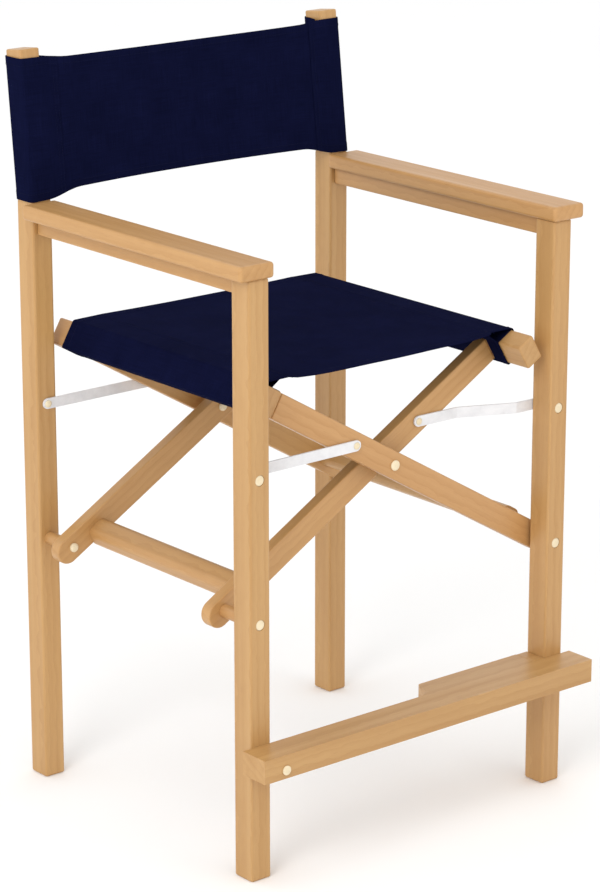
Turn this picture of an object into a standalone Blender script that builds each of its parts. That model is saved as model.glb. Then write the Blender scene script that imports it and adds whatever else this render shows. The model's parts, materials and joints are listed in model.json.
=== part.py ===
"""Bar-height folding director chair: two side frames, a double scissor base, seat and back canvas.

Units are metres, +Z is up, +X is the sitter's left-to-right as seen from the front (-Y).
The layout is drawn about the middle of the four legs; ORIGIN_Y then centres the whole outline on
the origin, because the footrest reaches further forward than the raked posts reach back.
"""

import math

import bmesh
import bpy
from mathutils import Matrix, Vector

ORIGIN_Y = 0.0149
GAP = 0.0003

# Legs and posts
LEG_X = 0.2925
LEG_Y = 0.260
LEG_WIDE = 0.036
LEG_DEEP = 0.040
LEG_IN_X = LEG_X - LEG_WIDE / 2
LEG_IN_Y = LEG_Y - LEG_DEEP / 2
LEG_EDGE = 0.003
POST_TOP = 1.156
POST_LEAN = math.radians(6.2)
POST_WIDE = 0.0356
POST_DEEP = 0.0396
POST_EDGE = 0.0045
POST_IN = 0.0020

# Armrests
ARM_TOP = 0.928
ARM_THICK = 0.023
ARM_IN = 0.0055
ARM_OUT = 0.0200
ARM_FRONT = 0.0065
ARM_EDGE = 0.005
ARM_RAIL_THICK = 0.020
ARM_RAIL_INSET = 0.008
ARM_RAIL_BOTTOM = 0.878

# Scissor bars: the A bars rise to the left and lie outside the B bars, which rise to the right
PIVOT_Z = 0.396
CROSS_Z = 0.568
BAR_WIDE = 0.040
BAR_THICK = 0.020
BAR_REACH = math.hypot(LEG_X, CROSS_Z - PIVOT_Z)
BAR_TILT = math.atan2(CROSS_Z - PIVOT_Z, LEG_X)
BAR_FOOT = 0.010
A_IN_Y = 0.2155
A_OUT_Y = A_IN_Y + BAR_THICK
B_IN_Y = 0.1775
B_OUT_Y = B_IN_Y + BAR_THICK

# Seat rails cap the upper ends of the bars: the right one reaches forward, the left one back
RAIL_NEAR_U = 0.2606
RAIL_FAR_U = 0.2921
RAIL_HALF = 0.0210
RAIL_LONG = 0.2728
RAIL_SHORT = 0.2355

# Stretchers between the lower ends of each bar pair
STRETCHER_U = 0.2878
STRETCHER_V = {-1: -0.0129, 1: 0.0085}
STRETCHER_WIDE = 0.038
STRETCHER_TALL = 0.035
STRETCHER_ROUND = 0.012

# Links that hold the sides upright
LINK_LEG_Z = 0.6125
LINK_BAR_S = 0.090
LINK_WIDE = 0.0165
LINK_THICK = 0.003
LINK_BEND = (0.077, 0.165)

# Bolts
HEAD_R = 0.0080
HEAD_TALL = 0.0030
HEAD_SUNK = 0.0030
SHANK_R = 0.0030
BORE_R = SHANK_R + GAP
CAP_R = 0.0070
RIVET_R = 0.0055
RIVET_PIN_R = 0.0022
SPACER_R = 0.0100

# Footrest
FOOT_BOTTOM = 0.1750
FOOT_TOP = 0.2115
FOOT_FRONT = -0.3315
FOOT_END = 0.3265
FOOT_NARROW_BACK = -0.2805
FOOT_WIDE_BACK = -0.2400
FOOT_STEP_X = 0.040
FOOT_BOLT = (-0.287, 0.188)
REST_TOP_X = 0.2510
REST_SLOPE = math.radians(22)
REST_SEAM = 0.0008

# Canvas
CLOTH = 0.0020
SEAT_FRONT = -0.2475
SEAT_BACK = 0.2365
SEAT_TOP = 0.7375
SEAM_X = 0.188
BACK_BOTTOM = 0.9290
BACK_TOP = 1.1425
BACK_FREE = 0.0005
BACK_CLOTH = 0.0012

OAK = (0.62, 0.40, 0.19)
PALE_STEEL = (0.80, 0.79, 0.77)
CREAM = (0.78, 0.72, 0.60)
NAVY = (0.008, 0.010, 0.040)


def clear_scene():
    for obj in list(bpy.data.objects):
        bpy.data.objects.remove(obj, do_unlink=True)


def material(name, colour, roughness, metallic):
    made = bpy.data.materials.new(name)
    made.use_nodes = True
    shader = made.node_tree.nodes["Principled BSDF"]
    shader.inputs["Base Color"].default_value = (*colour, 1)
    shader.inputs["Roughness"].default_value = roughness
    shader.inputs["Metallic"].default_value = metallic
    return made


def wood(name, shade=1.0):
    return material(name, [c * shade for c in OAK], 0.5, 0.0)


def new_object(name, bm, mat, origin=(0, 0, 0)):
    """Turns a bmesh drawn about the legs' middle into an object whose origin is the given point."""
    bmesh.ops.recalc_face_normals(bm, faces=bm.faces)
    bmesh.ops.translate(bm, verts=bm.verts, vec=-Vector(origin))
    mesh = bpy.data.meshes.new(name)
    bm.to_mesh(mesh)
    bm.free()
    obj = bpy.data.objects.new(name, mesh)
    obj.location = Vector(origin) + Vector((0, ORIGIN_Y, 0))
    bpy.context.scene.collection.objects.link(obj)
    if mat:
        mesh.materials.append(mat)
    mesh.shade_smooth()
    mesh.set_sharp_from_angle(angle=math.radians(35))
    return obj


def prism(points, axis, low, high):
    """A bmesh prism: a polygon in the two other axes, extruded along `axis` from low to high."""
    bm = bmesh.new()
    others = [i for i in range(3) if i != axis]
    verts = []
    for p in points:
        co = [0, 0, 0]
        co[others[0]], co[others[1]] = p
        co[axis] = low
        verts.append(bm.verts.new(co))
    face = bm.faces.new(verts)
    pushed = bmesh.ops.extrude_face_region(bm, geom=[face])["geom"]
    step = Vector([high - low if i == axis else 0 for i in range(3)])
    moved = [g for g in pushed if isinstance(g, bmesh.types.BMVert)]
    bmesh.ops.translate(bm, verts=moved, vec=step)
    return bm


def box(x, y, z):
    corners = ((x[0], y[0]), (x[1], y[0]), (x[1], y[1]), (x[0], y[1]))
    return prism(corners, 2, *z)


def bevel(obj, width, segments=2, angle=40):
    mod = obj.modifiers.new("edges", "BEVEL")
    mod.width = width
    mod.segments = segments
    mod.limit_method = "ANGLE"
    mod.angle_limit = math.radians(angle)
    mod.harden_normals = False
    return obj


def cut(obj, cutter, name):
    cutter.name = name
    cutter.hide_render = True
    cutter.display_type = "WIRE"
    mod = obj.modifiers.new(name, "BOOLEAN")
    mod.operation = "DIFFERENCE"
    mod.solver = "EXACT"
    mod.object = cutter
    return obj


def join(obj, other):
    other.hide_render = True
    other.display_type = "WIRE"
    mod = obj.modifiers.new("join_" + other.name, "BOOLEAN")
    mod.operation = "UNION"
    mod.solver = "EXACT"
    mod.object = other
    return obj


def round_rod(radius, y0, y1, x, z, sides=20):
    bm = bmesh.new()
    turn = Matrix.Rotation(math.radians(90), 4, "X")
    place = Matrix.Translation((x, (y0 + y1) / 2, z)) @ turn
    depth = abs(y1 - y0)
    bmesh.ops.create_cone(
        bm, cap_ends=True, segments=sides, radius1=radius, radius2=radius, depth=depth, matrix=place
    )
    return bm


def bore(obj, x, z, y0, y1, radius=BORE_R, sides=16):
    name = f"bore_{obj.name}_{len(obj.modifiers)}"
    return cut(obj, new_object(name, round_rod(radius, y0, y1, x, z, sides), None), name)


def turned(name, profile, x, z, mat, side=1, y=0.0, sides=24):
    """A piece turned about a Y axis through (x, z). The profile is (distance along Y, radius)."""
    bm = bmesh.new()
    verts = [bm.verts.new((r, side * a, 0)) for a, r in profile]
    edges = [bm.edges.new(pair) for pair in zip(verts, verts[1:])]
    bmesh.ops.spin(
        bm, geom=verts + edges, axis=(0, 1, 0), cent=(0, 0, 0), steps=sides, angle=2 * math.pi
    )
    bmesh.ops.remove_doubles(bm, verts=bm.verts, dist=0.00002)
    bmesh.ops.translate(bm, verts=bm.verts, vec=(x, side * y, z))
    return new_object(name, bm, mat, origin=(x, 0, z))


def bolt_profile(outer, inner, head_r=HEAD_R, cap_r=CAP_R, cap=0.0045, shank=SHANK_R):
    """Low domed head on the seat at `outer`, shank to `inner`, domed cap nut beyond it."""
    out = outer + GAP
    back = inner - GAP
    return (
        (out + HEAD_TALL - GAP, 0.0),
        (out + HEAD_TALL - GAP, head_r * 0.60),
        (out + HEAD_TALL * 0.82, head_r * 0.88),
        (out + HEAD_TALL * 0.55, head_r),
        (out, head_r),
        (out, shank),
        (back, shank),
        (back, cap_r),
        (back - cap * 0.6, cap_r),
        (back - cap, cap_r * 0.6),
        (back - cap, 0.0),
    )


def stud_profile(outer, inner, head_r=HEAD_R, shank=SHANK_R):
    """Domed head outside `outer` and a plain shank that ends at `inner`."""
    out = outer + GAP
    return (
        (out + HEAD_TALL - GAP, 0.0),
        (out + HEAD_TALL - GAP, head_r * 0.60),
        (out + HEAD_TALL * 0.82, head_r * 0.88),
        (out + HEAD_TALL * 0.55, head_r),
        (out, head_r),
        (out, shank),
        (inner, shank),
        (inner, 0.0),
    )


def sleeve_profile(outer, inner, radius=SPACER_R, hole=BORE_R):
    """A ring about the bolt; the first point is repeated so that the turned tube closes."""
    ring = ((outer, hole), (outer, radius), (inner, radius), (inner, hole))
    return ring + ring[:1]


def bar_point(u, v, side):
    """A point given along and square to a bar; side +1 is a B bar, -1 its mirror image."""
    c, s = math.cos(BAR_TILT), math.sin(BAR_TILT)
    return (side * (u * c - v * s), CROSS_Z + u * s + v * c)


def rail_points(side, grow=0.0):
    """The rail's four corners: top inner, top outer, bottom outer, bottom inner."""
    near, far, half = RAIL_NEAR_U - grow, RAIL_FAR_U + grow, RAIL_HALF + grow
    corners = ((near, half), (far, half), (far, -half), (near, -half))
    return [bar_point(u, v, side) for u, v in corners]


def rounded_rectangle(wide, tall, radius, steps=5):
    points = []
    corners = ((1, 1, 0), (-1, 1, 90), (-1, -1, 180), (1, -1, 270))
    for sx, sy, start in corners:
        for i in range(steps + 1):
            t = math.radians(start + 90 * i / steps)
            x = sx * (wide / 2 - radius) + radius * math.cos(t)
            y = sy * (tall / 2 - radius) + radius * math.sin(t)
            points.append((x, y))
    return points


def mirrored(name, x_sign):
    return f"{name}_{'right' if x_sign > 0 else 'left'}"


def raked(bm, sx=0):
    """Leans a bmesh drawn upright about the legs back by the posts' rake, and in towards the middle."""
    for v in bm.verts:
        above = v.co.z - ARM_TOP
        inward = POST_IN * above / (POST_TOP - ARM_TOP)
        v.co.x -= inward * (sx or max(-1, min(1, v.co.x / LEG_X)))
        v.co.y += LEG_Y + above * math.tan(POST_LEAN)
    return bm


def add_post(sx):
    """The raked part of a rear leg above the armrest, cut square to its own length at the top."""
    section = rounded_rectangle(POST_WIDE, POST_DEEP, POST_EDGE)
    bm = prism([(sx * LEG_X + x, y) for x, y in section], 2, ARM_TOP - 0.003, POST_TOP)
    for v in bm.verts:
        if v.co.z > ARM_TOP:
            v.co.z -= (v.co.y + POST_DEEP / 2) * math.tan(POST_LEAN)
    post = new_object(mirrored("post", sx), raked(bm, sx), None)
    bevel(post, 0.0025, 3, 50)
    return post


def add_side_frame(sx):
    """One side: front leg, rear leg with its raked post, armrest and the rail under it."""
    x_in = LEG_X - LEG_WIDE / 2
    x_out = LEG_X + LEG_WIDE / 2
    span = sorted((sx * x_in, sx * x_out))
    under = ARM_TOP - ARM_THICK

    front = new_object(
        mirrored("leg_front", sx),
        box(span, (-LEG_Y - LEG_DEEP / 2, -LEG_Y + LEG_DEEP / 2), (0, under - GAP)),
        wood(mirrored("leg_front_wood", sx)),
    )
    bevel(front, LEG_EDGE)

    rear = new_object(
        mirrored("leg_rear", sx),
        box(span, (LEG_Y - LEG_DEEP / 2, LEG_Y + LEG_DEEP / 2), (0, ARM_TOP)),
        wood(mirrored("leg_rear_wood", sx)),
    )
    bevel(rear, LEG_EDGE)
    join(rear, add_post(sx))

    board = sorted((sx * (x_in - ARM_IN), sx * (x_out + ARM_OUT)))
    front_end = -LEG_Y - LEG_DEEP / 2 - ARM_FRONT
    arm = new_object(
        mirrored("armrest", sx),
        box(board, (front_end, LEG_IN_Y - GAP), (under, ARM_TOP)),
        wood(mirrored("armrest_wood", sx)),
    )
    bevel(arm, ARM_EDGE, 3)

    rail_out = x_out - ARM_RAIL_INSET
    inside = sorted((sx * rail_out, sx * (rail_out - ARM_RAIL_THICK)))
    rail = new_object(
        mirrored("arm_rail", sx),
        box(inside, (-LEG_IN_Y + GAP, LEG_IN_Y - GAP), (ARM_RAIL_BOTTOM, under - GAP)),
        wood(mirrored("arm_rail_wood", sx)),
    )
    bevel(rail, 0.002)

    for leg, sy in ((front, -1), (rear, 1)):
        ends = sorted((sy * (LEG_Y - 0.03), sy * (LEG_Y + 0.03)))
        sink = sorted((sy * (LEG_Y + LEG_DEEP / 2 - HEAD_SUNK), sy * (LEG_Y + 0.03)))
        for height in (PIVOT_Z, LINK_LEG_Z):
            bore(leg, sx * LEG_X, height, *ends)
            bore(leg, sx * LEG_X, height, *sink, HEAD_R + GAP, 24)
    return front


def bar_outline(side):
    """Round at the foot, square where it butts the seat rail."""
    half = BAR_WIDE / 2
    centre = -(BAR_REACH + BAR_FOOT)
    foot = [
        (centre - half * math.cos(t), half * math.sin(t))
        for t in [math.radians(90 - 180 * i / 16) for i in range(17)]
    ]
    edge = RAIL_NEAR_U - GAP
    head = [(edge, -half), (edge, half)]
    return [bar_point(u, v, side) for u, v in foot + head]


def add_bars():
    for label, side, low, high in (("a", -1, A_IN_Y, A_OUT_Y), ("b", 1, B_IN_Y, B_OUT_Y)):
        for place, sy in (("front", -1), ("rear", 1)):
            ends = sorted((sy * low, sy * high))
            name = f"bar_{label}_{place}"
            pivot = (-side * LEG_X, 0, PIVOT_Z) if label == "b" else (0, 0, CROSS_Z)
            bar = new_object(name, prism(bar_outline(side), 1, *ends), wood(f"{name}_wood"), pivot)
            bevel(bar, 0.002, 2, 50)
            through = (ends[0] - 0.01, ends[1] + 0.01)
            bore(bar, 0, CROSS_Z, *through)
            bore(bar, -side * LEG_X, PIVOT_Z, *through)
            bore(bar, *bar_point(LINK_BAR_S, 0, side), *through, RIVET_PIN_R + GAP)


def add_seat_rails():
    for sx in (-1, 1):
        name = mirrored("seat_rail", sx)
        ends = sorted((-sx * RAIL_LONG, sx * RAIL_SHORT))
        rail = new_object(name, prism(rail_points(sx), 1, *ends), wood(f"{name}_wood"))
        bevel(rail, 0.0030)


def add_stretchers():
    section = rounded_rectangle(STRETCHER_WIDE, STRETCHER_TALL, STRETCHER_ROUND)
    for sx, reach in ((-1, B_IN_Y), (1, A_IN_Y)):
        name = mirrored("stretcher", sx)
        points = [
            bar_point(-STRETCHER_U + u, STRETCHER_V[sx] + v, -sx) for u, v in section
        ]
        new_object(
            name, prism(points, 1, -reach + GAP, reach - GAP), wood(f"{name}_wood")
        )


def link_strip(x_bar, x_leg, bar_z, y_bar, y_leg):
    """A flat bar from the bar rivet to the leg bolt, with round ends and a slanted joggle."""
    half = LINK_WIDE / 2
    sign = 1 if x_leg > x_bar else -1
    length = abs(x_leg - x_bar)
    stations = [(-half * math.cos(t), half * math.sin(t)) for t in arc(15, 90, 6)]
    start, end = LINK_BEND
    shares = (-0.06, 0.0, 0.06, 0.35, 0.65, 0.94, 1.0, 1.06)
    stations += [(start + (end - start) * share, half) for share in shares]
    stations += [(length + half * math.cos(t), half * math.sin(t)) for t in arc(90, 15, 6)]
    bm = bmesh.new()
    rings = []
    for along, wide in stations:
        bend = min(1, max(0, (along - start) / (end - start)))
        y = y_bar + (y_leg - y_bar) * bend
        z = bar_z + (LINK_LEG_Z - bar_z) * min(1, max(0, along / length))
        thick = LINK_THICK / 2
        x = x_bar + sign * along
        lean = (y_leg - y_bar) / (end - start) * thick * (0.9 if 0 < bend < 1 else 0.45)
        lean = lean if start - 0.001 < along < end + 0.001 else 0.0
        ring = [
            bm.verts.new((x - sign * lean, y + thick, z + wide)),
            bm.verts.new((x - sign * lean, y + thick, z - wide)),
            bm.verts.new((x + sign * lean, y - thick, z - wide)),
            bm.verts.new((x + sign * lean, y - thick, z + wide)),
        ]
        rings.append(ring)
    for one, two in zip(rings, rings[1:]):
        for i in range(4):
            j = (i + 1) % 4
            bm.faces.new((one[i], one[j], two[j], two[i]))
    bm.faces.new(rings[0])
    bm.faces.new(rings[-1])
    return bm


def arc(start, end, steps):
    return [math.radians(start + (end - start) * i / steps) for i in range(steps + 1)]


def add_links():
    grey = PALE_STEEL
    for sx in (-1, 1):
        for place, sy in (("front", -1), ("rear", 1)):
            x_bar, z_bar = bar_point(LINK_BAR_S, 0, sx)
            face = A_OUT_Y if sx < 0 else B_OUT_Y
            y_bar = face + 0.0008 + LINK_THICK / 2
            y_leg = LEG_IN_Y - 0.0007 - LINK_THICK / 2
            name = mirrored(f"link_{place}", sx)
            bm = link_strip(x_bar, sx * LEG_X, z_bar, sy * y_bar, sy * y_leg)
            steel = material(f"{name}_steel", grey, 0.45, 0.3)
            link = new_object(name, bm, steel, (x_bar, 0, z_bar))
            ends = sorted((sy * (y_bar - 0.004), sy * (y_bar + 0.004)))
            bore(link, x_bar, z_bar, *ends, RIVET_PIN_R + GAP)

            cap = y_bar + LINK_THICK / 2 + GAP
            profile = (
                (cap + 0.0016, 0.0),
                (cap + 0.0016, RIVET_R * 0.6),
                (cap + 0.0008, RIVET_R * 0.95),
                (cap, RIVET_R),
                (cap, RIVET_PIN_R),
                (face - 0.016, RIVET_PIN_R),
                (face - 0.016, 0.0),
            )
            pin = material(f"{name}_rivet_steel", grey, 0.4, 0.6)
            turned(mirrored(f"link_rivet_{place}", sx), profile, x_bar, z_bar, pin, sy)

            button = y_leg - LINK_THICK / 2 - GAP
            profile = (
                (button, 0.0),
                (button, RIVET_R),
                (button - 0.0012, RIVET_R),
                (button - 0.0022, RIVET_R * 0.6),
                (button - 0.0022, 0.0),
            )
            nut = material(f"{name}_nut_steel", grey, 0.4, 0.6)
            turned(mirrored(f"link_nut_{place}", sx), profile, sx * LEG_X, LINK_LEG_Z, nut, sy)


def add_bolts():
    outer = LEG_Y + LEG_DEEP / 2 - HEAD_SUNK
    for sx in (-1, 1):
        for place, sy in (("front", -1), ("rear", 1)):
            inner = B_IN_Y if sx < 0 else A_IN_Y
            name = mirrored(f"pivot_bolt_{place}", sx)
            steel = material(f"{name}_steel", CREAM, 0.45, 0.2)
            turned(name, bolt_profile(outer, inner), sx * LEG_X, PIVOT_Z, steel, sy)

            name = mirrored(f"link_bolt_{place}", sx)
            steel = material(f"{name}_steel", CREAM, 0.45, 0.2)
            profile = stud_profile(outer, LEG_IN_Y + GAP)
            turned(name, profile, sx * LEG_X, LINK_LEG_Z, steel, sy)

            bar_face = B_OUT_Y if sx < 0 else A_OUT_Y
            name = mirrored(f"pivot_spacer_{place}", sx)
            look = wood(f"{name}_wood", 0.9)
            if sx > 0:
                look = material(f"{name}_steel", PALE_STEEL, 0.4, 0.5)
            profile = sleeve_profile(LEG_IN_Y - GAP, bar_face + GAP)
            turned(name, profile, sx * LEG_X, PIVOT_Z, look, sy)
    for place, sy in (("front", -1), ("rear", 1)):
        name = f"crossing_bolt_{place}"
        steel = material(f"{name}_steel", CREAM, 0.45, 0.2)
        turned(name, bolt_profile(A_OUT_Y, B_IN_Y), 0, CROSS_Z, steel, sy)
        name = f"crossing_spacer_{place}"
        profile = sleeve_profile(A_IN_Y - GAP, B_OUT_Y + GAP, 0.012)
        turned(name, profile, 0, CROSS_Z, wood(f"{name}_wood", 0.9), sy)


def rest_x(z):
    """Left face of the fixed rest block at height z."""
    return REST_TOP_X - (FOOT_TOP - z) * math.tan(REST_SLOPE)


def add_footrest():
    end = FOOT_END
    step = FOOT_STEP_X
    outline = [
        (-end, FOOT_FRONT),
        (end, FOOT_FRONT),
        (end, FOOT_NARROW_BACK),
        (0.262, FOOT_NARROW_BACK),
        (0.262, FOOT_WIDE_BACK),
        (step + 0.010, FOOT_WIDE_BACK),
        (step + 0.006, FOOT_WIDE_BACK - 0.002),
        (step + 0.001, FOOT_WIDE_BACK - 0.012),
        (step - 0.008, FOOT_NARROW_BACK + 0.006),
        (step - 0.018, FOOT_NARROW_BACK + 0.001),
        (step - 0.026, FOOT_NARROW_BACK),
        (-end, FOOT_NARROW_BACK),
    ]
    origin = (FOOT_BOLT[0], 0, FOOT_BOLT[1])
    board = new_object(
        "footrest_board", prism(outline, 2, FOOT_BOTTOM, FOOT_TOP), wood("footrest_wood"), origin
    )
    low, high = FOOT_BOTTOM - 0.01, FOOT_TOP + 0.01
    wedge = (
        (rest_x(low) - REST_SEAM, low),
        (0.29, low),
        (0.29, high),
        (rest_x(high) - REST_SEAM, high),
    )
    cutter = new_object(
        "cut_footrest_end", prism(wedge, 1, FOOT_NARROW_BACK + 0.00005, -0.2), None
    )
    cut(board, cutter, "cut_footrest_end")
    bevel(board, 0.0035, 2, 50)
    bore(board, *FOOT_BOLT, -0.36, -0.22)

    block_wood = wood("footrest_rest_wood")
    low, high = FOOT_BOTTOM, FOOT_TOP
    face = LEG_IN_X - GAP
    wedge = ((rest_x(low), low), (face, low), (face, high), (rest_x(high), high))
    block = new_object(
        "footrest_rest", prism(wedge, 1, -LEG_Y - LEG_DEEP / 2, -LEG_IN_Y), block_wood
    )
    bevel(block, 0.0015, 2, 50)

    steel = material("footrest_bolt_steel", CREAM, 0.45, 0.2)
    profile = stud_profile(-FOOT_FRONT, LEG_Y - 0.012, HEAD_R * 0.9)
    turned("footrest_bolt", profile, *FOOT_BOLT, steel, -1)
    leg = bpy.data.objects["leg_front_left"]
    bore(leg, *FOOT_BOLT, -LEG_Y - 0.03, -LEG_Y + 0.012 + 0.0005)


def seat_outline(sx):
    """Half of the canvas section, from above the rail round its outside to the inner seam."""
    inner, outer, low_outer, low_inner = rail_points(sx, CLOTH + 0.0006)
    seam = (sx * SEAM_X, SEAT_TOP - CLOTH)
    return [(outer[0], SEAT_TOP), low_outer, low_inner, inner, seam]


def sleeve_void(sx):
    """The space inside one sleeve: the rail with a small gap, open up to the top sheet."""
    inner, outer, low_outer, low_inner = rail_points(sx, 0.0006)
    under = SEAT_TOP - CLOTH
    seam = (sx * (SEAM_X + 0.006), under)
    return [seam, (outer[0] - sx * 0.001, under), low_outer, low_inner, inner]


def add_seat_canvas():
    right = seat_outline(1)
    left = list(reversed(seat_outline(-1)))
    cloth = material("seat_canvas_cloth", NAVY, 0.9, 0.0)
    canvas = new_object("seat_canvas", prism(left + right, 1, SEAT_FRONT, SEAT_BACK), cloth)
    for sx in (-1, 1):
        name = mirrored("cut_sleeve", sx)
        cut(canvas, new_object(name, prism(sleeve_void(sx), 1, -0.3, 0.3), None), name)
        bar_low, bar_high = (B_IN_Y, B_OUT_Y) if sx > 0 else (A_IN_Y, A_OUT_Y)
        half = BAR_WIDE / 2 + 0.004
        top = SEAT_TOP - CLOTH - 0.0005
        rise = (top - CROSS_Z - RAIL_NEAR_U * math.sin(BAR_TILT)) / math.cos(BAR_TILT)
        corners = ((0.10, -half), (RAIL_NEAR_U, -half - 0.004), (RAIL_NEAR_U, rise))
        notch = [bar_point(u, v, sx) for u, v in corners] + [(sx * 0.10, top)]
        for sy in (-1, 1):
            name = mirrored(f"cut_bar_{'front' if sy < 0 else 'rear'}", sx)
            ends = sorted((sy * (bar_low - 0.004), sy * (bar_high + 0.004 if sx > 0 else 0.29)))
            cut(canvas, new_object(name, prism(notch, 1, *ends), None), name)


def back_section(grow, meet):
    """Half of the back's plan: round the post's outside and back in to the sheet at `meet`."""
    loop = rounded_rectangle(POST_WIDE + 2 * grow, POST_DEEP + 2 * grow, POST_EDGE + grow)
    steps = len(loop) // 4
    turn = loop[3 * steps :] + loop[: 2 * steps]
    return [(LEG_X + x, y) for x, y in turn] + [(LEG_X - meet, -POST_DEEP / 2 - BACK_FREE)]


def add_back_canvas():
    """A sheet between the posts with a closed sleeve round each."""
    cloth = material("back_canvas_cloth", NAVY, 0.9, 0.0)
    half = back_section(BACK_FREE + BACK_CLOTH, 0.050)
    outer = half + [(-x, y) for x, y in reversed(half)]
    outer_bm = raked(prism(outer, 2, BACK_BOTTOM, BACK_TOP))
    canvas = new_object("back_canvas", outer_bm, cloth)
    hollow = back_section(BACK_FREE, 0.042)
    for sx in (-1, 1):
        points = [(sx * x, y) for x, y in hollow]
        name = mirrored("cut_back_sleeve", sx)
        hole = raked(prism(points, 2, ARM_TOP - 0.02, BACK_TOP + 0.02), sx)
        cut(canvas, new_object(name, hole, None), name)


def main():
    clear_scene()
    for sx in (-1, 1):
        add_side_frame(sx)
    add_bars()
    add_seat_rails()
    add_stretchers()
    add_links()
    add_bolts()
    add_footrest()
    add_seat_canvas()
    add_back_canvas()


main()
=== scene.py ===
"""Looks of the tall folding director chair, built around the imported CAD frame.

The wooden and metal CAD nodes stay, each with its own finish. Sewn sheets stand for the two canvases:
the seat, held by its two rails, and the back, which has a sleeve round each rear post.
X runs across the chair, -Y is the sitter's front, +Z is up, and lengths are in metres.
"""

import json
import math
import random

import bmesh
import bpy
from mathutils import Matrix, Vector

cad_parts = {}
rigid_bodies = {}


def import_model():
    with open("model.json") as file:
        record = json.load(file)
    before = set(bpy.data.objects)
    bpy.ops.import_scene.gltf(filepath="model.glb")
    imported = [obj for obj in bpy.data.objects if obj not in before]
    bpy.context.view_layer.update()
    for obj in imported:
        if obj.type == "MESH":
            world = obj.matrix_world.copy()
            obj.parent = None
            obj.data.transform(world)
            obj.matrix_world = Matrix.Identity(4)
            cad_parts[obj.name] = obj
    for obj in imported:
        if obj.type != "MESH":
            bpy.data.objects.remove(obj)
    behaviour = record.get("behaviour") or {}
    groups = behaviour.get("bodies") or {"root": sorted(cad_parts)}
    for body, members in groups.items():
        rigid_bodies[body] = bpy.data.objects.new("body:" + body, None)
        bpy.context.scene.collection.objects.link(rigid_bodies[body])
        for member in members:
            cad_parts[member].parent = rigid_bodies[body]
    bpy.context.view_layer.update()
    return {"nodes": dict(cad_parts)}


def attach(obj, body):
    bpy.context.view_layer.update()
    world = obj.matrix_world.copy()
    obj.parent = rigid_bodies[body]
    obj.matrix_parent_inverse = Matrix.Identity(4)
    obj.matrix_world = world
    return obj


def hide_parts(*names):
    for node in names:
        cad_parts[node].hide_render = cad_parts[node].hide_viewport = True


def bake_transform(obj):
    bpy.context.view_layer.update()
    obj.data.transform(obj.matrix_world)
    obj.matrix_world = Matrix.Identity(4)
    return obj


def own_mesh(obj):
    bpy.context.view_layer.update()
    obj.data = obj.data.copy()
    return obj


for stale in list(bpy.data.objects):
    bpy.data.objects.remove(stale, do_unlink=True)

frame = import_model()

# The frame's layout, as in the CAD. The values in Y count from the middle of the legs, at ORIGIN_Y.
ORIGIN_Y = 0.0149
LEG_X = 0.2925
LEG_Y = 0.260
ARM_TOP = 0.928

# The scissor's bars turn on the legs at PIVOT_Z and cross at CROSS_Z. U runs up along a bar from the
# crossing, and V square to it. A bars rise to the left and B bars to the right.
PIVOT_Z = 0.396
CROSS_Z = 0.568
BAR_TILT = math.atan2(CROSS_Z - PIVOT_Z, LEG_X)
RAIL_NEAR_U = 0.2606
RAIL_FAR_U = 0.2921
RAIL_HALF = 0.0210
B_IN_Y = 0.1775
B_OUT_Y = 0.1975
A_IN_Y = 0.2155
A_OUT_Y = 0.2355

# The rear posts above the armrests, raked back and drawn slightly in.
POST_TOP = 1.156
POST_WIDE = 0.0356
POST_DEEP = 0.0396
POST_EDGE = 0.0045
POST_LEAN = math.tan(math.radians(6.2))
POST_IN = 0.0020

# Canvas, and how far a folded hem stands up and its cut edge is pressed down.
CLOTH = 0.0012
HEM_RISE = 0.00035
EDGE_DROP = 0.0003

# The seat's sheet: its top level, ends in Y, and the seams that close its sleeves.
SEAT_TOP = 0.7375
SEAT_FRONT = -0.2475
SEAT_BACK = 0.2365
SEAT_DEEP = SEAT_BACK - SEAT_FRONT
SEAM_X = 0.188
SEAT_FREE = 0.0008
SEAT_BEND = 0.0028
SEAT_HEM = 0.018
SEAT_STEP = 0.0121
HEM_STEP = 0.0012
NOTCH_FREE = 0.0040
PULL_MIDDLE = 0.0040
PULL_RAIL = 0.0155
SAG = 0.0022

# The back's sheets.
BACK_BOTTOM = 0.9290
BACK_TOP = 1.1425
BACK_HIGH = BACK_TOP - BACK_BOTTOM
SLEEVE_FREE = 0.0007
SLEEVE_SEAM = 0.046
SLEEVE_GROW = SLEEVE_FREE + CLOTH / 2
PANEL_LAP = 0.012
PANEL_EDGE = LEG_X - SLEEVE_SEAM + PANEL_LAP
BACK_HEM_SHARES = (0.052, 0.948)

# How far the rows of stitches stand off the middle of the cloth that they are sewn through.
STITCH_LIFT = CLOTH / 2 + 0.00045


# ---------------------------------------------------------------- materials


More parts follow.
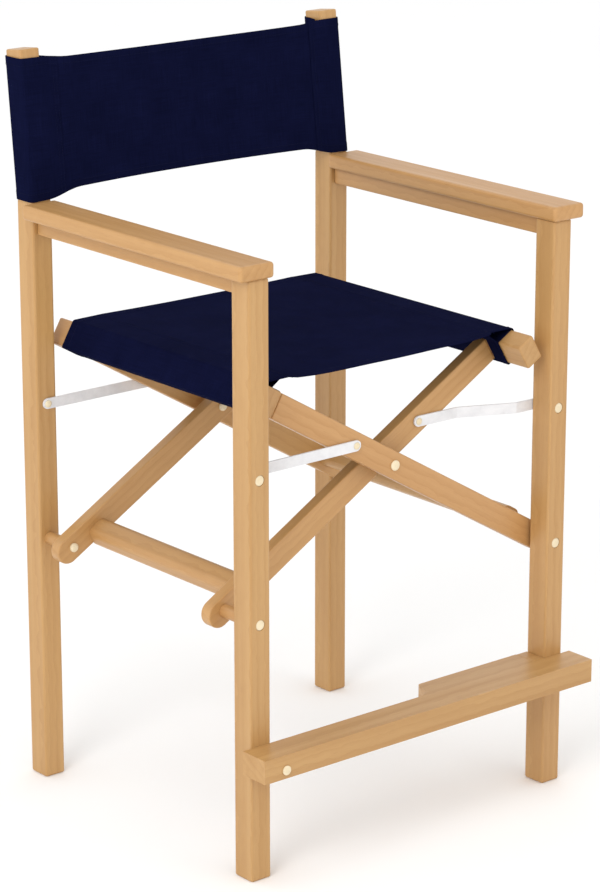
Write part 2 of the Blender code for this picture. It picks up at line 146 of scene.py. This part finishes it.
class Nodes:
    """Short ways to add and link the nodes of one material."""

    def __init__(self, name):
        self.mat = bpy.data.materials.new(name)
        self.mat.use_nodes = True
        self.tree = self.mat.node_tree
        self.shader = self.tree.nodes["Principled BSDF"]

    def add(self, kind, inputs=None, **props):
        node = self.tree.nodes.new("ShaderNode" + kind)
        for key, value in props.items():
            setattr(node, key, value)
        for key, value in (inputs or {}).items():
            self.put(node.inputs[key], value)
        return node

    def put(self, socket, value):
        if isinstance(value, bpy.types.NodeSocket):
            self.tree.links.new(value, socket)
        else:
            socket.default_value = value

    def maths(self, operation, a, b=0.0, c=0.0):
        return self.add("Math", {0: a, 1: b, 2: c}, operation=operation).outputs[0]

    def scaled(self, vector, factors):
        return self.add("VectorMath", {0: vector, 1: factors}, operation="MULTIPLY").outputs[0]

    def noise(self, vector, scale, detail=2.0, rough=0.5):
        inputs = {"Vector": vector, "Scale": scale, "Detail": detail, "Roughness": rough}
        return self.add("TexNoise", inputs).outputs["Fac"]

    def remap(self, value, low, high, to_low, to_high):
        inputs = {0: value, 1: low, 2: high, 3: to_low, 4: to_high}
        return self.add("MapRange", inputs).outputs[0]

    def mix(self, factor, a, b, blend="MIX"):
        node = self.add("Mix", data_type="RGBA", blend_type=blend)
        self.put(node.inputs[0], factor)
        for socket, value in ((node.inputs[6], a), (node.inputs[7], b)):
            self.put(socket, value if isinstance(value, bpy.types.NodeSocket) else (*value, 1))
        return node.outputs[2]

    def bump(self, height, strength, distance):
        inputs = {"Height": height, "Strength": strength, "Distance": distance}
        self.put(self.shader.inputs["Normal"], self.add("Bump", inputs).outputs[0])

    def surface(self, **values):
        for key, value in values.items():
            self.put(self.shader.inputs[key.replace("_", " ")], value)
        return self.mat


WOOD_LIGHT = (0.525, 0.296, 0.112)
WOOD_MID = (0.440, 0.228, 0.074)
WOOD_DARK = (0.320, 0.145, 0.040)


def wood(name, grain, seed, painted_shade=1.0):
    """Lacquered hardwood whose fibres run along the direction `grain`, its colour scaled down by the
    last argument as painted shade.
    """
    n = Nodes(name)
    rng = random.Random(seed)
    along = Vector(grain).normalized()
    across = along.cross(Vector((0.31, 0.83, 0.46))).normalized()
    third = along.cross(across)
    point = n.add("TexCoord").outputs["Object"]
    axes = [
        n.add("VectorMath", {0: point, 1: tuple(d)}, operation="DOT_PRODUCT").outputs["Value"]
        for d in (along, across, third)
    ]
    shift = [rng.uniform(-1, 1) for _ in range(3)]

    def stretched(along_scale, across_scale):
        """The point in the wood's own directions, moved to a place of its own in the texture."""
        scales = (along_scale, across_scale, across_scale)
        parts = {i: n.maths("MULTIPLY_ADD", axes[i], k, 7 * shift[i]) for i, k in enumerate(scales)}
        return n.add("CombineXYZ", parts).outputs[0]

    ring_inputs = {
        "Vector": stretched(0.9, 1.0),
        "Scale": 26.0,
        "Distortion": 3.2,
        "Detail": 2.5,
        "Detail Scale": 1.4,
    }
    ring_kind = {"wave_type": "BANDS", "bands_direction": "Y", "wave_profile": "SAW"}
    rings = n.add("TexWave", ring_inputs, **ring_kind).outputs["Fac"]
    streak = n.noise(stretched(2.2, 70.0), 1.0, 4.0, 0.6)
    broad = n.noise(stretched(1.3, 11.0), 1.0)
    pores = n.remap(n.noise(stretched(55.0, 1500.0), 1.0), 0.60, 0.72, 0.0, 1.0)

    ring_part = n.maths("MULTIPLY", n.remap(rings, 0.35, 1.0, 0.0, 1.0), 0.42)
    streak_part = n.remap(streak, 0.35, 0.70, 0.0, 0.55)
    base = n.mix(n.maths("ADD", ring_part, streak_part), WOOD_LIGHT, WOOD_MID)
    base = n.mix(n.remap(broad, 0.52, 0.80, 0.0, 0.34), base, WOOD_DARK)
    base = n.mix(n.maths("MULTIPLY", pores, 0.30), base, WOOD_DARK)
    # A small random tone for each piece, times the last argument: painted shade that darkens the whole
    # piece.
    tone_and_painted_shade = [painted_shade * rng.uniform(0.975, 1.02) for _ in range(3)]
    base = n.mix(1.0, base, tone_and_painted_shade, "MULTIPLY")

    n.bump(n.maths("SUBTRACT", n.maths("MULTIPLY", streak, 0.35), pores), 0.22, 0.00025)
    rough = n.remap(streak, 0.3, 0.7, 0.36, 0.50)
    return n.surface(Base_Color=base, Roughness=rough, Coat_Weight=0.12, Coat_Roughness=0.28)


NAVY = (0.0042, 0.0054, 0.0245)
THREAD_PITCH = 0.0019


def canvas(name):
    """Plain-woven cotton canvas; the attribute `thread` holds lengths along weft and warp."""
    n = Nodes(name)
    thread = n.add("Attribute", attribute_name="thread").outputs["Vector"]
    parts = n.add("SeparateXYZ", {0: thread}).outputs
    wobble = n.noise(thread, 90.0)
    waves = []
    for part in (parts[0], parts[1]):
        drift = n.maths("MULTIPLY", wobble, 5.0)
        phase = n.maths("MULTIPLY_ADD", part, 2 * math.pi / THREAD_PITCH, drift)
        waves.append(n.maths("SINE", phase))
    woven = n.maths("MULTIPLY", waves[0], waves[1])
    slubs = n.maths(
        "ADD",
        n.noise(n.scaled(thread, (22, 900, 1)), 1.0),
        n.noise(n.scaled(thread, (900, 22, 1)), 1.0),
    )
    faded = n.noise(thread, 14.0, 3.0, 0.6)
    light = n.maths("MULTIPLY_ADD", woven, 0.16, n.remap(slubs, 0.6, 1.4, 0.70, 1.30))
    light = n.maths("MULTIPLY", light, n.remap(faded, 0.3, 0.7, 0.88, 1.14))
    tinted = n.add("VectorMath", {0: NAVY, "Scale": light}, operation="SCALE").outputs[0]
    n.bump(n.maths("ADD", woven, slubs), 0.45, 0.00022)
    return n.surface(
        Base_Color=tinted,
        Roughness=n.remap(slubs, 0.6, 1.4, 0.74, 0.92),
        Sheen_Weight=0.02,
        Sheen_Roughness=0.5,
        Sheen_Tint=(0.15, 0.18, 0.5, 1.0),
        Specular_IOR_Level=0.035,
        IOR=1.10,
    )


def thread_cloth(name):
    """Sewing thread: twisted, a little lighter than the canvas."""
    n = Nodes(name)
    point = n.add("TexCoord").outputs["Object"]
    twist = n.noise(point, 1800.0)
    colour = n.mix(twist, (0.0045, 0.0058, 0.0255), (0.0085, 0.0105, 0.037))
    n.bump(twist, 0.3, 0.0001)
    rough = n.remap(twist, 0.3, 0.7, 0.60, 0.80)
    return n.surface(Base_Color=colour, Roughness=rough, Specular_IOR_Level=0.08, IOR=1.25)


def painted(name, light, dark, rough, metallic=0.0):
    """Powder coat or plated metal with faint mottling, orange peel and rubbed patches."""
    n = Nodes(name)
    point = n.add("TexCoord").outputs["Object"]
    cloud = n.noise(point, 38.0, 3.0, 0.6)
    peel = n.noise(point, 420.0)
    colour = n.mix(n.remap(cloud, 0.38, 0.68, 0.0, 1.0), light, dark)
    n.bump(n.maths("ADD", peel, n.maths("MULTIPLY", cloud, 0.5)), 0.25, 0.0002)
    spread = n.remap(n.maths("ADD", cloud, peel), 0.7, 1.3, rough - 0.06, rough + 0.10)
    return n.surface(Base_Color=colour, Roughness=spread, Metallic=metallic)


def floor_material():
    """Matt studio floor, almost white."""
    n = Nodes("floor_pale")
    point = n.add("TexCoord").outputs["Object"]
    colour = n.mix(n.noise(point, 1.2), (0.955, 0.955, 0.955), (0.975, 0.975, 0.972))
    return n.surface(Base_Color=colour, Roughness=0.9, Specular_IOR_Level=0.1)


# ---------------------------------------------------------------- CAD nodes


def give(node, mat):
    obj = frame["nodes"][node]
    obj.data.materials.clear()
    obj.data.materials.append(mat)


# Each wooden node's name starts with one of these, and its fibres run this way.
GRAIN = (
    ("leg_", (0, 0.004, 1)),
    ("armrest_", (0.01, 1, 0.004)),
    ("arm_rail_", (0, 1, 0.01)),
    ("seat_rail_", (0.005, 1, 0)),
    ("stretcher_", (0, 1, 0.006)),
    ("footrest_", (1, 0.006, 0)),
    ("bar_a_", (-math.cos(BAR_TILT), 0, math.sin(BAR_TILT))),
    ("bar_b_", (math.cos(BAR_TILT), 0, math.sin(BAR_TILT))),
    ("crossing_spacer", (0, 1, 0)),
    ("pivot_spacer", (0, 1, 0)),
)
# Painted shade: the seat rails' wood is made 3% darker for the shade they lie in beneath the seat
# canvas.
RAIL_PAINTED_SHADE = {"seat_rail_right": 0.97, "seat_rail_left": 0.97}
FIRST_WOOD_SEED = 100

cream = painted("cream_bolt_caps", (0.80, 0.69, 0.48), (0.70, 0.58, 0.38), 0.42)
steel = painted("plated_steel", (0.62, 0.61, 0.59), (0.50, 0.49, 0.47), 0.34, 1.0)
white = painted("white_powder_coat", (0.76, 0.76, 0.775), (0.67, 0.67, 0.69), 0.36)

for index, node in enumerate(sorted(frame["nodes"])):
    if node.endswith("canvas"):
        continue
    if node.startswith(("link_front", "link_rear")):
        give(node, white)
    elif node.startswith("pivot_spacer") and node.endswith("right"):
        give(node, steel)
    elif "bolt" in node or "rivet" in node or "nut" in node:
        give(node, cream)
    else:
        grain = next(direction for start, direction in GRAIN if node.startswith(start))
        give(node, wood("wood_" + node, grain, FIRST_WOOD_SEED + index, RAIL_PAINTED_SHADE.get(node, 1.0)))


# ---------------------------------------------------------------- cloth helpers


def smoothstep(a, b, x):
    t = max(0.0, min(1.0, (x - a) / (b - a)))
    return t * t * (3 - 2 * t)


def ripples(seed, count, per_a, per_b):
    """A gentle random surface: the mean of `count` sine waves over two lengths, from -1 to 1."""
    rng = random.Random(seed)
    waves = [(rng.uniform(*per_a), rng.uniform(*per_b), rng.uniform(0, 6.3)) for _ in range(count)]
    return lambda a, b: sum(math.sin(p * a + q * b + start) for p, q, start in waves) / count


def rounded_path(points, radius, steps=4):
    """The open path with each inner corner replaced by an arc-like curve."""
    out = [Vector(points[0])]
    for a, b, c in zip(points, points[1:], points[2:]):
        a = Vector(a)
        b = Vector(b)
        c = Vector(c)
        back = a - b
        ahead = c - b
        reach = min(radius, back.length * 0.45, ahead.length * 0.45)
        start = b + back.normalized() * reach
        end = b + ahead.normalized() * reach
        for i in range(steps + 1):
            t = i / steps
            out.append((1 - t) ** 2 * start + 2 * t * (1 - t) * b + t * t * end)
    out.append(Vector(points[-1]))
    return out


def refined(path, longest):
    """The path with points added so that no stretch is longer than `longest`."""
    out = [path[0]]
    for a, b in zip(path, path[1:]):
        parts = max(1, math.ceil((b - a).length / longest))
        out += [a.lerp(b, (i + 1) / parts) for i in range(parts)]
    return out


def lengths(path):
    """How far along the path each of its points lies."""
    out = [0.0]
    for a, b in zip(path, path[1:]):
        out.append(out[-1] + (b - a).length)
    return out


def left_normals(path):
    """A unit vector at each point of a flat path, 90 degrees to the left of its direction."""
    out = []
    for i in range(len(path)):
        direction = (path[min(i + 1, len(path) - 1)] - path[max(i - 1, 0)]).normalized()
        out.append(Vector((-direction.y, direction.x)))
    return out


def link(name, bm, mat, smooth=True):
    """A new object in the scene from the bmesh, which is freed."""
    mesh = bpy.data.meshes.new(name)
    bm.to_mesh(mesh)
    bm.free()
    obj = bpy.data.objects.new(name, mesh)
    bpy.context.scene.collection.objects.link(obj)
    mesh.materials.append(mat)
    if smooth:
        mesh.shade_smooth()
    return obj


def applied(obj):
    """Replaces the object's mesh by what its modifiers make of it."""
    graph = bpy.context.evaluated_depsgraph_get()
    mesh = bpy.data.meshes.new_from_object(obj.evaluated_get(graph))
    obj.modifiers.clear()
    obj.data = mesh
    mesh.shade_smooth()
    mesh.set_sharp_from_angle(angle=math.radians(42))


def sheet_mesh(name, grid, lengths_u, lengths_v, mat, thick=CLOTH, keep=None):
    """A sheet through grid[i][j], `thick` about its middle, with thread lengths stored."""
    bm = bmesh.new()
    layer = bm.verts.layers.float_vector.new("thread")
    verts = []
    for i, row in enumerate(grid):
        line = []
        for j, point in enumerate(row):
            vert = bm.verts.new(point)
            vert[layer] = (lengths_u[i], lengths_v[j], 0)
            line.append(vert)
        verts.append(line)
    for i in range(len(grid) - 1):
        for j in range(len(grid[0]) - 1):
            if keep is None or keep(i, j):
                quad = (verts[i][j], verts[i + 1][j], verts[i + 1][j + 1], verts[i][j + 1])
                bm.faces.new(quad)
    bmesh.ops.delete(bm, geom=[v for v in bm.verts if not v.link_faces], context="VERTS")
    obj = link(name, bm, mat)
    solid = obj.modifiers.new("cloth", "SOLIDIFY")
    solid.thickness = thick
    solid.offset = 0
    solid.use_even_offset = True
    applied(obj)
    return obj


STITCH_PITCH = 0.0042
STITCH_LONG = 0.0031
STITCH_RADIUS = 0.00034
STITCH_SIDES = 5
# Rings along one stitch: place as a share of its length, size, and height in radii.
STITCH_RINGS = ((-0.5, 0.45, -0.4), (-0.32, 1, 0.2), (0.32, 1, 0.2), (0.5, 0.45, -0.4))


def add_stitch(bm, middle, along, up):
    """One short bead of thread whose ends dip into the cloth."""
    side = along.cross(up).normalized()
    rings = []
    for reach, size, lift in STITCH_RINGS:
        centre = middle + along * reach * STITCH_LONG + up * lift * STITCH_RADIUS
        ring = []
        for a in range(STITCH_SIDES):
            angle = 2 * math.pi * a / STITCH_SIDES
            spoke = side * math.cos(angle) * 1.25 + up * math.sin(angle) * 0.8
            ring.append(bm.verts.new(centre + spoke * size * STITCH_RADIUS))
        rings.append(ring)
    for first, second in zip(rings, rings[1:]):
        for a in range(STITCH_SIDES):
            b = (a + 1) % STITCH_SIDES
            bm.faces.new((first[a], first[b], second[b], second[a]))
    bm.faces.new(list(reversed(rings[0])))
    bm.faces.new(rings[-1])


def stitches(name, rows, mat):
    """Lock stitches along each row, a list of (point, outward normal)."""
    bm = bmesh.new()
    for row in rows:
        points = [Vector(point) for point, _ in row]
        normals = [Vector(normal) for _, normal in row]
        at = lengths(points)
        count = int(at[-1] / STITCH_PITCH)
        k = 0
        for i in range(count):
            s = (i + 0.5) * at[-1] / count
            while k < len(at) - 2 and at[k + 1] < s:
                k += 1
            t = (s - at[k]) / max(at[k + 1] - at[k], 1e-9)
            along = (points[k + 1] - points[k]).normalized()
            up = normals[k].lerp(normals[k + 1], t).normalized()
            add_stitch(bm, points[k].lerp(points[k + 1], t), along, up)
    bmesh.ops.recalc_face_normals(bm, faces=bm.faces)
    return link(name, bm, mat)


navy_seat = canvas("navy_canvas_seat")
navy_back = canvas("navy_canvas_back")
sewing = thread_cloth("navy_thread")


# ---------------------------------------------------------------- seat


FACING_THICK = 0.0008
FACING_FREE = 0.0007
SAME = 1e-6


def bar_point(u, v, side):
    """(x, z) of a place given along and square to the bar that rises to this side."""
    c = math.cos(BAR_TILT)
    s = math.sin(BAR_TILT)
    return (side * (u * c - v * s), CROSS_Z + u * s + v * c)


def seat_half(side):
    """Section of one sleeve, from its seam round the rail to the top sheet, and its notch corner."""
    grow = SEAT_FREE + CLOTH / 2
    near = RAIL_NEAR_U - grow
    far = RAIL_FAR_U + grow
    half = RAIL_HALF + grow
    top = SEAT_TOP - CLOTH / 2
    low_inner = bar_point(near, -half, side)
    corners = [
        (side * SEAM_X, top - CLOTH - 0.0002),
        bar_point(near, half, side),
        low_inner,
        bar_point(far, -half, side),
        bar_point(far, half, side),
        (side * SEAM_X, top),
    ]
    path = rounded_path(corners, SEAT_BEND)
    corner = min(range(len(path)), key=lambda i: (path[i] - Vector(low_inner)).length)
    return path, corner


def seat_facing(side):
    """The sleeve's inner layer, laid along the top of the rail and sewn in at the crown."""
    inner = bar_point(RAIL_NEAR_U - 0.001, RAIL_HALF + FACING_FREE, side)
    outer = bar_point(RAIL_FAR_U - 0.002, RAIL_HALF + FACING_FREE, side)
    path = refined([Vector(inner), Vector(outer)], 0.004)
    at = lengths(path)
    front = SEAT_FRONT + 0.0200
    rear = SEAT_BACK - 0.0015
    steps = 60
    ys = [front + (rear - front) * i / steps for i in range(steps + 1)]
    grid = [[(p.x, y + ORIGIN_Y, p.y + 0.0001 * math.sin(90 * y)) for y in ys] for p in path]
    name = "seat_facing_" + ("right" if side > 0 else "left")
    obj = sheet_mesh(name, grid, at, [y - front for y in ys], navy_seat, thick=FACING_THICK)
    return obj, (at[-1], rear - front)


def front_pull(x):
    """How far the front edge is drawn back: least in the middle, most at the rails."""
    return PULL_MIDDLE + PULL_RAIL * smoothstep(0.14, 0.26, abs(x))


def seat_sag(x, y):
    """How far the top sheet hangs below the rails' level."""
    across = max(0.0, 1 - (x / SEAM_X) ** 2)
    middle_y = (SEAT_FRONT + SEAT_BACK) / 2
    return SAG * across * (0.75 + 0.25 * math.cos(math.pi * (y - middle_y) / SEAT_DEEP))


def seat_stations():
    """Places along the seat's depth that hold points: even steps, hem lines and cut-outs."""
    stations = {SEAT_FRONT, SEAT_BACK, SEAT_FRONT + 0.001, SEAT_BACK - 0.001}
    stations |= {SEAT_FRONT + SEAT_HEM, SEAT_FRONT + SEAT_HEM + HEM_STEP}
    stations |= {SEAT_BACK - SEAT_HEM, SEAT_BACK - SEAT_HEM - HEM_STEP}
    y = SEAT_FRONT
    while y < SEAT_BACK:
        stations.add(round(y, 5))
        y += SEAT_STEP
    for sign in (-1, 1):
        for low, high in ((B_IN_Y, B_OUT_Y), (A_IN_Y, A_OUT_Y)):
            stations |= {round(sign * (low - NOTCH_FREE), 5), round(sign * (high + NOTCH_FREE), 5)}
    ordered = sorted(y for y in stations if SEAT_FRONT <= y <= SEAT_BACK)
    return [y for k, y in enumerate(ordered) if k == 0 or y - ordered[k - 1] > 0.0006]


def seat_canvas():
    """The seat's sheet, its stitches, and the sheet's flat size and area.

    It is one sheet: from the left sleeve's seam round the left rail, over the top, and round the right
    rail to its seam. Its flaps inside the rails make way for the bars: the left flap lacks its ends,
    and the right one two strips.
    """
    left, corner_left = seat_half(-1)
    right, corner_right = seat_half(1)
    fine = refined(left + list(reversed(right)), 0.010)
    normals = left_normals(fine)
    at = lengths(fine)
    total = at[-1]
    notch_left = lengths(left)[corner_left]
    notch_right = total - lengths(right)[corner_right]
    on_seam = [s for s, p in zip(at, fine) if abs(abs(p.x) - SEAM_X) < SAME and p.y > SEAT_TOP - 0.001]
    seam_left = on_seam[0]
    seam_right = on_seam[-1]
    ys = seat_stations()
    ripple = ripples(5, 7, (18, 60), (9, 40))
    front_notch = -B_OUT_Y - NOTCH_FREE

    def place(i, y):
        """Where the sheet's point i of its section lies at the flat sheet's y."""
        x, z = fine[i]
        s = at[i]
        on_top = seam_left - SAME <= s <= seam_right + SAME
        pull = front_pull(x) if on_top else PULL_MIDDLE + PULL_RAIL
        moved = y + pull * max(0.0, min(1.0, (front_notch - y) / (front_notch - SEAT_FRONT)))
        from_edge = min(y - SEAT_FRONT, SEAT_BACK - y)
        lift = HEM_RISE * (1 - smoothstep(SEAT_HEM, SEAT_HEM + HEM_STEP, from_edge))
        lift -= EDGE_DROP * (1 - smoothstep(0.0, HEM_STEP, from_edge))
        if on_top:
            from_seam = min(s - seam_left, seam_right - s)
            z -= seat_sag(x, y)
            z += 0.0005 * ripple(x, y) * smoothstep(0.0, 0.05, from_seam)
            pucker = math.sin(y * 2 * math.pi / 0.019 + 1.3 * math.sin(40 * y))
            z += 0.00025 * pucker * math.exp(-from_seam / 0.012)
        return (x + normals[i].x * lift, moved + ORIGIN_Y, z + normals[i].y * lift)

    def keep(i, j):
        """Whether the face between stations i, i + 1 and j, j + 1 is outside the cut-outs."""
        s = (at[i] + at[i + 1]) / 2
        y = abs(ys[j] + ys[j + 1]) / 2
        if s < notch_left + SAME:
            return y < A_IN_Y - NOTCH_FREE + SAME
        if s > notch_right - SAME:
            return not B_IN_Y - NOTCH_FREE - SAME < y < B_OUT_Y + NOTCH_FREE + SAME
        return True

    grid = [[place(i, y) for y in ys] for i in range(len(fine))]
    cloth = sheet_mesh("seat_cloth", grid, at, [y - SEAT_FRONT for y in ys], navy_seat, keep=keep)

    rows = []
    for side, seam in ((-1, at.index(seam_left)), (1, at.index(seam_right))):
        for inset in (0.0025, 0.0085):
            x = side * (SEAM_X + inset)
            rows.append([((x, place(seam, y)[1], SEAT_TOP + 0.0001), (0, 0, 1)) for y in ys[1:-1]])
    for edge in (SEAT_FRONT + 0.0150, SEAT_BACK - 0.0150):
        row = []
        for i, n in enumerate(normals):
            if notch_left + 0.002 < at[i] < notch_right - 0.002:
                x, y, z = place(i, edge)
                row.append(((x + n.x * 0.0007, y, z + n.y * 0.0007), (n.x, 0, n.y)))
        rows.append(row)
    sewn = stitches("seat_stitches", rows, sewing)

    cut_left = notch_left * (SEAT_DEEP - 2 * (A_IN_Y - NOTCH_FREE))
    cut_right = (total - notch_right) * 2 * (B_OUT_Y - B_IN_Y + 2 * NOTCH_FREE)
    return cloth, sewn, (total, SEAT_DEEP), total * SEAT_DEEP - cut_left - cut_right


for side, body, rail in ((-1, "a_frame", "seat_rail_left"), (1, "b_frame", "seat_rail_right")):
    facing, flat = seat_facing(side)
    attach(facing, body)

seat, seat_sewn, seat_flat, seat_area = seat_canvas()
for piece in (seat, seat_sewn):
    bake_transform(piece)
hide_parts("seat_canvas")


# ---------------------------------------------------------------- back


def lean(x, y, z):
    """The place of an upright layout point on the raked posts."""
    above = z - ARM_TOP
    inward = POST_IN * above / (POST_TOP - ARM_TOP)
    return (
        x - inward * max(-1.0, min(1.0, x / LEG_X)),
        y + LEG_Y + above * POST_LEAN + ORIGIN_Y,
        z,
    )


def panel_edges(x):
    """Lowest and highest point of the back's cloth at x: the bottom rises past each sleeve."""
    inward = LEG_X - POST_WIDE / 2 - abs(x)
    middle = 1 - (x / LEG_X) ** 2
    rise = 0.0105 * smoothstep(-0.006, 0.055, inward) + 0.0055 * middle
    dip = 0.0035 * smoothstep(0.0, 0.05, inward) + 0.0012 * middle
    return BACK_BOTTOM + rise, BACK_TOP - dip


def back_height(x, share):
    low, high = panel_edges(x)
    return low + (high - low) * share


def back_shares():
    """Heights of the rows of points, as shares of the cloth's height: close together at the hems."""
    hem = [0.0, 0.004, 0.05, 0.062, 0.068]
    steps = 15
    between = [hem[-1] + (1 - 2 * hem[-1]) * i / steps for i in range(1, steps)]
    return hem + between + [1 - s for s in reversed(hem)]


def hem_lift(share):
    edge = min(share, 1 - share)
    rise = HEM_RISE * (1 - smoothstep(0.060, 0.068, edge))
    return rise - EDGE_DROP * (1 - smoothstep(0.0, 0.005, edge))


def sleeve_loop():
    """Plan of the right sleeve about its post, from the seam round the post and back, as (x, y)."""
    half_x = POST_WIDE / 2 + SLEEVE_GROW
    half_y = POST_DEEP / 2 + SLEEVE_GROW
    radius = POST_EDGE + SLEEVE_GROW
    points = [(-SLEEVE_SEAM, -half_y)]
    steps = 5
    for sx, sy, start in ((1, -1, 270), (1, 1, 0), (-1, 1, 90)):
        for i in range(steps + 1):
            t = math.radians(start + 90 * i / steps)
            x = sx * (half_x - radius) + radius * math.cos(t)
            y = sy * (half_y - radius) + radius * math.sin(t)
            points.append((x, y))
    hollow = [
        (-half_x - 0.0002, half_y * 0.1),
        (-half_x - 0.0040, -half_y * 0.55),
        (-half_x - 0.0120, -half_y + CLOTH * 1.9),
        (-SLEEVE_SEAM, -half_y + CLOTH * 1.05),
    ]
    return [Vector(p) for p in points + hollow]


def back_sleeve(side):
    """One sleeve, its stitches and its flat size."""
    fine = refined(sleeve_loop(), 0.006)
    outward = [-normal for normal in left_normals(fine)]
    at = lengths(fine)
    shares = back_shares()
    grid = []
    for i, p in enumerate(fine):
        row = []
        for share in shares:
            q = p + outward[i] * hem_lift(share)
            wave = 0.0004 * math.sin(26 * share + 3 * i / len(fine))
            crease = wave * smoothstep(0.004, 0.02, -p.x - 0.014)
            x, y, z = lean(LEG_X + q.x, q.y + crease, back_height(LEG_X + p.x, share))
            row.append((side * x, y, z))
        grid.append(row)
    if side < 0:
        grid.reverse()
    hand = "right" if side > 0 else "left"
    sleeve = sheet_mesh("back_sleeve_" + hand, grid, at, [s * BACK_HIGH for s in shares], navy_back)

    rows = []
    steps = 19
    for inset in (0.0028, 0.0088):
        low, high = panel_edges(LEG_X - SLEEVE_SEAM + inset)
        row = []
        for k in range(steps + 1):
            z = low + 0.002 + (high - low - 0.004) * k / steps
            front = -POST_DEEP / 2 - SLEEVE_GROW - CLOTH / 2 - 0.0001
            x, y, z = lean(LEG_X - SLEEVE_SEAM + inset, front, z)
            row.append(((side * x, y, z), (0, -1, 0)))
        rows.append(row)
    for share in BACK_HEM_SHARES:
        row = []
        for p, out in zip(fine, outward):
            if p.y > POST_DEEP / 2:
                break
            q = p + out * STITCH_LIFT
            x, y, z = lean(LEG_X + q.x, q.y, back_height(LEG_X + p.x, share))
            row.append(((side * x, y, z), (side * out.x, out.y, 0)))
        rows.append(row)
    sewn = stitches("back_stitches_" + hand, rows, sewing)
    return sleeve, sewn, (at[-1], BACK_HIGH)


def back_panel():
    """The panel between the sleeves, its hems' stitches and its flat size."""
    steps = 52
    xs = [PANEL_EDGE * (-1 + 2 * i / steps) for i in range(steps + 1)]
    shares = back_shares()
    ripple = ripples(11, 6, (10, 34), (8, 30))

    def middle_y(x, z, share):
        """The panel's middle layer before hems and laps: slightly rippled and bowed to the rear."""
        inside = smoothstep(0.0, 0.10, PANEL_EDGE - abs(x))
        bow = 0.0030 * (1 - (2 * share - 1) ** 2)
        return -POST_DEEP / 2 - SLEEVE_GROW + inside * (0.0012 * ripple(x, z) + bow)

    grid = []
    for x in xs:
        behind = CLOTH * 0.9 * (1 - smoothstep(PANEL_LAP, 0.020, PANEL_EDGE - abs(x)))
        row = []
        for share in shares:
            z = back_height(x, share)
            row.append(lean(x, middle_y(x, z, share) + behind - hem_lift(share), z))
        grid.append(row)
    at = [x + PANEL_EDGE for x in xs]
    cloth = sheet_mesh("back_cloth", grid, at, [s * BACK_HIGH for s in shares], navy_back)

    rows = []
    for share in BACK_HEM_SHARES:
        row = []
        for x in xs:
            if PANEL_EDGE - abs(x) >= 0.014:
                z = back_height(x, share)
                row.append((lean(x, middle_y(x, z, share) - STITCH_LIFT, z), (0, -1, 0)))
        rows.append(row)
    sewn = stitches("back_hem_stitches", rows, sewing)
    low, high = panel_edges(0)
    return cloth, sewn, (2 * PANEL_EDGE, high - low)


for side, body in ((-1, "left_side"), (1, "right_side")):
    sleeve, sewn, flat = back_sleeve(side)
    for piece in (sleeve, sewn):
        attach(piece, body)

# Folding brings the right side in, down a little and out of upright; the panel rides on the left side.
panel, panel_sewn, panel_flat = back_panel()
for piece in (panel, panel_sewn):
    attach(piece, "left_side")
    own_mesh(piece)
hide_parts("back_canvas")


# ---------------------------------------------------------------- floor, light and camera


def add_floor(size, z):
    bm = bmesh.new()
    bmesh.ops.create_grid(bm, x_segments=8, y_segments=8, size=size)
    bmesh.ops.translate(bm, verts=bm.verts, vec=(0, 0, z))
    return link("floor", bm, floor_material(), smooth=False)


def area_light(name, place, target, power, colour):
    """A round soft lamp at `place` that faces `target`."""
    lamp = bpy.data.lights.new(name, "AREA")
    lamp.shape = "DISK"
    lamp.size = 2.4
    lamp.energy = power
    lamp.color = colour
    obj = bpy.data.objects.new(name, lamp)
    scene.collection.objects.link(obj)
    turn = (Vector(target) - Vector(place)).to_track_quat("-Z", "Y").to_matrix().to_4x4()
    obj.matrix_world = Matrix.Translation(place) @ turn


scene = bpy.context.scene
add_floor(14.0, -0.0003)
scene.world = bpy.data.worlds.new("studio")
scene.world.use_nodes = True
background = scene.world.node_tree.nodes["Background"]
background.inputs["Color"].default_value = (1.0, 1.0, 1.0, 1)
background.inputs["Strength"].default_value = 1.03
scene.view_settings.view_transform = "Standard"
area_light("key", (-3.7, -1.7, 2.9), (0, 0, 0.55), 75.0, (1.0, 0.985, 0.975))
area_light("fill", (1.0, -3.8, 1.7), (0, 0, 0.6), 10.0, (1.0, 0.90, 0.74))

# The camera stands at these angles, in radians, about a point near the middle of the chair.
CAMERA_AZIMUTH = -0.692195
CAMERA_ELEVATION = 0.288783
CAMERA_DISTANCE = 4.916585
CAMERA_TARGET = Vector((0.025723, 0.001245 + ORIGIN_Y, 0.55))

lens = bpy.data.cameras.new("camera")
lens.sensor_width = 36.0
lens.lens = 128.578834
lens.shift_x = -0.0069366
lens.shift_y = -0.0080997
lens.clip_start = 0.1
lens.clip_end = 60.0
camera = bpy.data.objects.new("camera", lens)
scene.collection.objects.link(camera)
back = Vector(
    (
        math.sin(CAMERA_AZIMUTH) * math.cos(CAMERA_ELEVATION),
        -math.cos(CAMERA_AZIMUTH) * math.cos(CAMERA_ELEVATION),
        math.sin(CAMERA_ELEVATION),
    )
)
turn = back.to_track_quat("Z", "Y").to_matrix().to_4x4()
camera.matrix_world = Matrix.Translation(CAMERA_TARGET + back * CAMERA_DISTANCE) @ turn
scene.camera = camera

bpy.context.view_layer.update()
